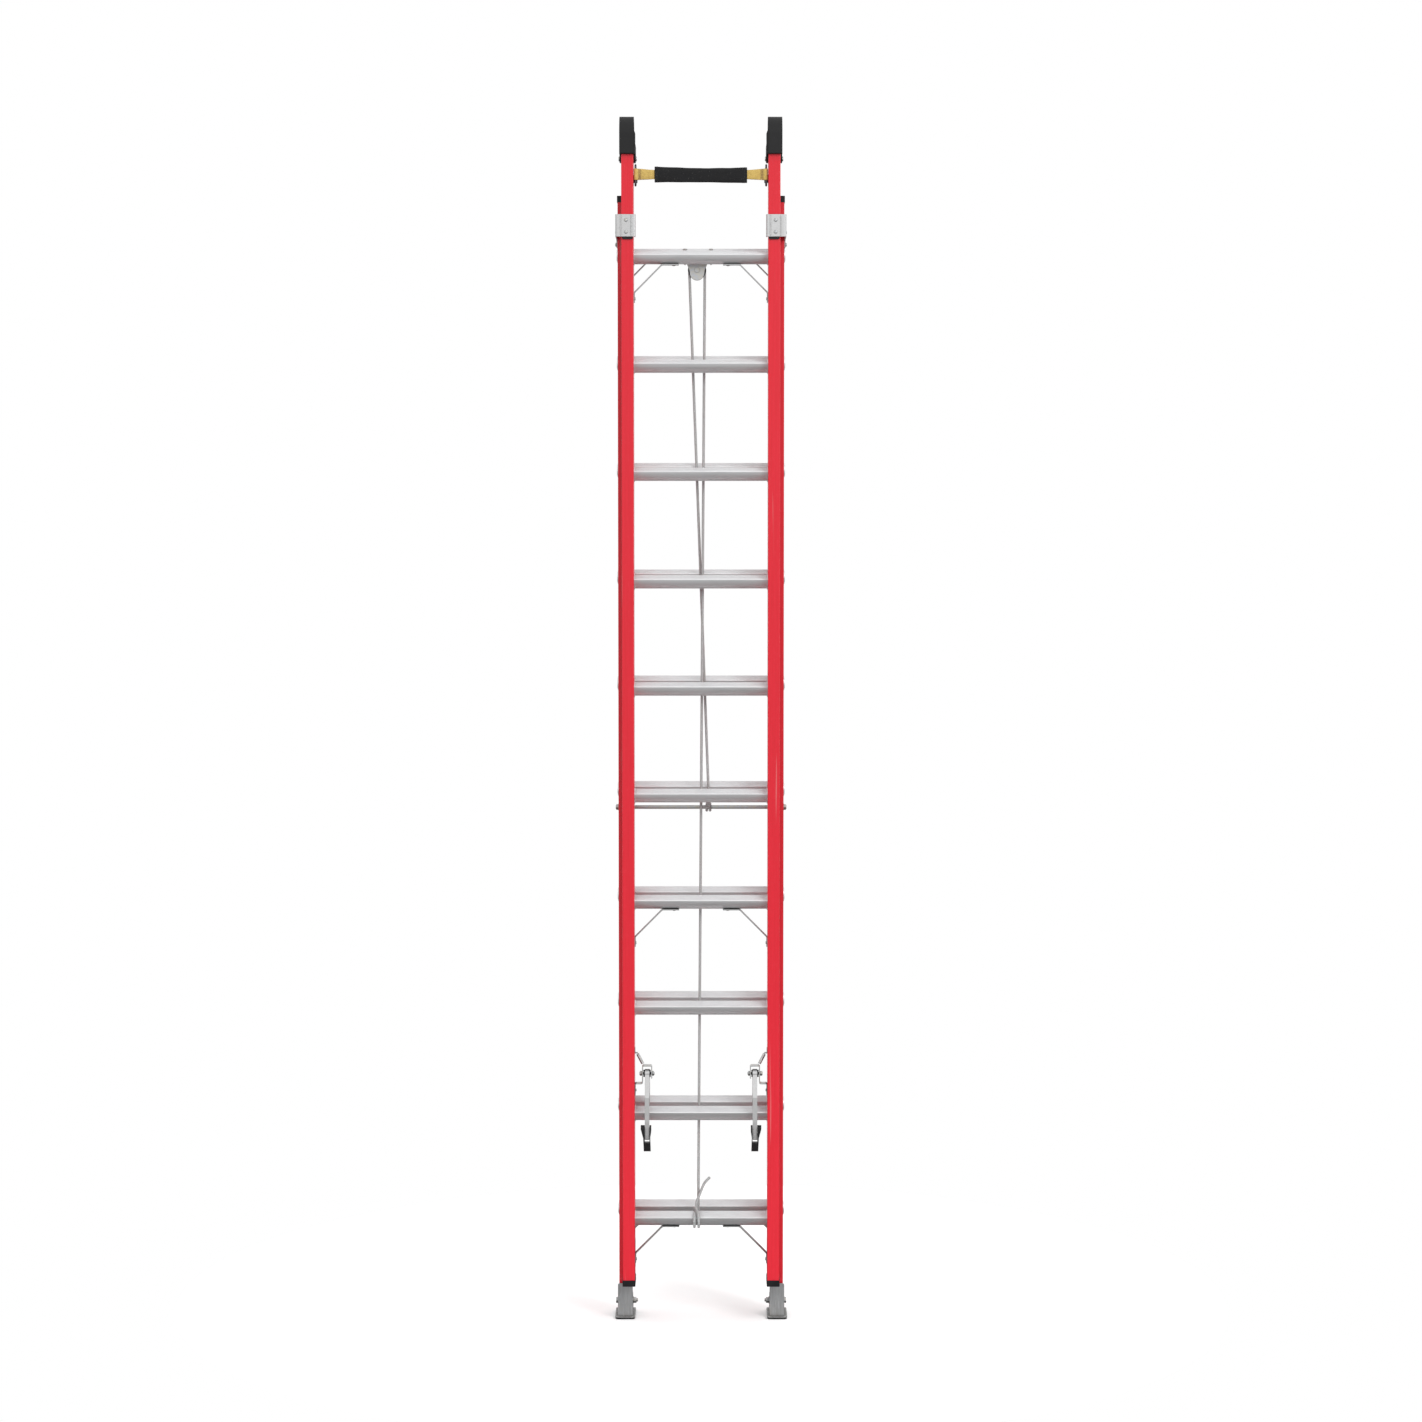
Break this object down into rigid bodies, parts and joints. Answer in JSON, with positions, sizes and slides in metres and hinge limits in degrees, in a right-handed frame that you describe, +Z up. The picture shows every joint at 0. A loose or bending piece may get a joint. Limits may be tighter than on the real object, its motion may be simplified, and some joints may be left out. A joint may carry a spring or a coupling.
{
  "type": "extension ladder",
  "caption": "Two-section extension ladder with fibreglass channel rails, D-shaped rungs, rung locks, a rope and pulley, swivel shoes, cable hooks and a padded pole strap.",
  "frame": {"origin": "on the ground midway between the rails and midway through the depth, with the ladder closed and upright", "axes": "+Z up along the rails, -Y towards the climber, +X to the climber's right"},
  "size_m": [0.497, 0.2, 3.436],
  "materials": {
    "fiberglass": "satin pultruded fibreglass",
    "aluminium": "extruded satin",
    "cast_aluminium": "cast matt",
    "shoe_metal": "mill",
    "steel": "zinc plated",
    "dark_steel": "blackened",
    "black_plastic": "moulded",
    "rubber": "moulded",
    "foam": "woven cover over foam",
    "webbing": "woven",
    "rope": "braided"
  },
  "bodies": {
    "base": {"base_braces": "aluminium", "base_end_caps": "black_plastic", "base_fasteners": "steel", "base_rail_left": "fiberglass", "base_rail_right": "fiberglass", "base_rung_01": "aluminium", "base_rung_02": "aluminium", "base_rung_03": "aluminium", "base_rung_04": "aluminium", "base_rung_05": "aluminium", "base_rung_06": "aluminium", "base_rung_07": "aluminium", "base_rung_08": "aluminium", "base_rung_09": "aluminium", "base_rung_10": "aluminium", "base_rung_washers": "aluminium", "tie_rod": "steel", "shoe_bolts": "steel", "guide_brackets": "cast_aluminium", "guide_pads": "black_plastic", "pulley_hanger": "steel", "pulley_axle": "steel", "rope_haul": "rope", "rope_lift": "rope"},
    "fly": {"cable_hook_left": "rubber", "cable_hook_right": "rubber", "fly_braces": "aluminium", "fly_end_caps": "black_plastic", "fly_fasteners": "steel", "fly_guide_blocks": "black_plastic", "fly_rail_left": "fiberglass", "fly_rail_right": "fiberglass", "fly_rung_01": "aluminium", "fly_rung_02": "aluminium", "fly_rung_03": "aluminium", "fly_rung_04": "aluminium", "fly_rung_05": "aluminium", "fly_rung_06": "aluminium", "fly_rung_07": "aluminium", "fly_rung_08": "aluminium", "fly_rung_09": "aluminium", "fly_rung_10": "aluminium", "fly_rung_washers": "aluminium", "hook_cores": "steel", "lock_brackets": "steel", "lock_bushes": "black_plastic", "lock_springs": "steel", "pole_strap": "webbing", "rope_hitch": "rope", "strap_links": "dark_steel", "strap_sleeve": "foam"},
    "rung_lock_left": {"lock_arm_left": "cast_aluminium"},
    "rung_lock_right": {"lock_arm_right": "cast_aluminium"},
    "lock_tongue_left": {"lock_tongue_left": "black_plastic"},
    "lock_tongue_right": {"lock_tongue_right": "black_plastic"},
    "shoe_left": {"shoe_left": "shoe_metal", "shoe_pad_left": "rubber"},
    "shoe_right": {"shoe_right": "shoe_metal", "shoe_pad_right": "rubber"},
    "pulley_sheave": {"pulley_sheave": "black_plastic"}
  },
  "joints": [
    {"name": "fly_slide", "type": "slide", "parent": "base", "child": "fly", "axis": [0, 0, 1], "range_m": [0, 2.124], "deforming": ["rope_lift"]},
    {"name": "sheave_spin", "type": "hinge", "parent": "base", "child": "pulley_sheave", "pos_m": [-0.011, 0.008, 3.012], "axis": [0, 1, 0], "continuous": true},
    {"name": "rung_lock_left_swing", "type": "hinge", "parent": "fly", "child": "rung_lock_left", "pos_m": [-0.1539, -0.062, 0.725], "axis": [1, 0, 0], "range_deg": [0, 8], "stiffness_Nm_per_rad": 0.4, "springref_deg": -34.38},
    {"name": "lock_tongue_left_swing", "type": "hinge", "parent": "rung_lock_left", "child": "lock_tongue_left", "pos_m": [-0.1539, -0.084, 0.552], "axis": [1, 0, 0], "range_deg": [-20, 20]},
    {"name": "shoe_left_tilt", "type": "hinge", "parent": "base", "child": "shoe_left", "pos_m": [-0.2192, 0.045, 0.042], "axis": [1, 0, 0], "range_deg": [-4, 45]},
    {"name": "rung_lock_right_swing", "type": "hinge", "parent": "fly", "child": "rung_lock_right", "pos_m": [0.1539, -0.062, 0.725], "axis": [1, 0, 0], "range_deg": [0, 8], "stiffness_Nm_per_rad": 0.4, "springref_deg": -34.38},
    {"name": "lock_tongue_right_swing", "type": "hinge", "parent": "rung_lock_right", "child": "lock_tongue_right", "pos_m": [0.1539, -0.084, 0.552], "axis": [1, 0, 0], "range_deg": [-20, 20]},
    {"name": "shoe_right_tilt", "type": "hinge", "parent": "base", "child": "shoe_right", "pos_m": [0.2192, 0.045, 0.042], "axis": [1, 0, 0], "range_deg": [-4, 45]}
  ],
  "couplings": [
    {"joint": "sheave_spin", "follows": "fly_slide", "rad_per_m": -45.455}
  ]
}
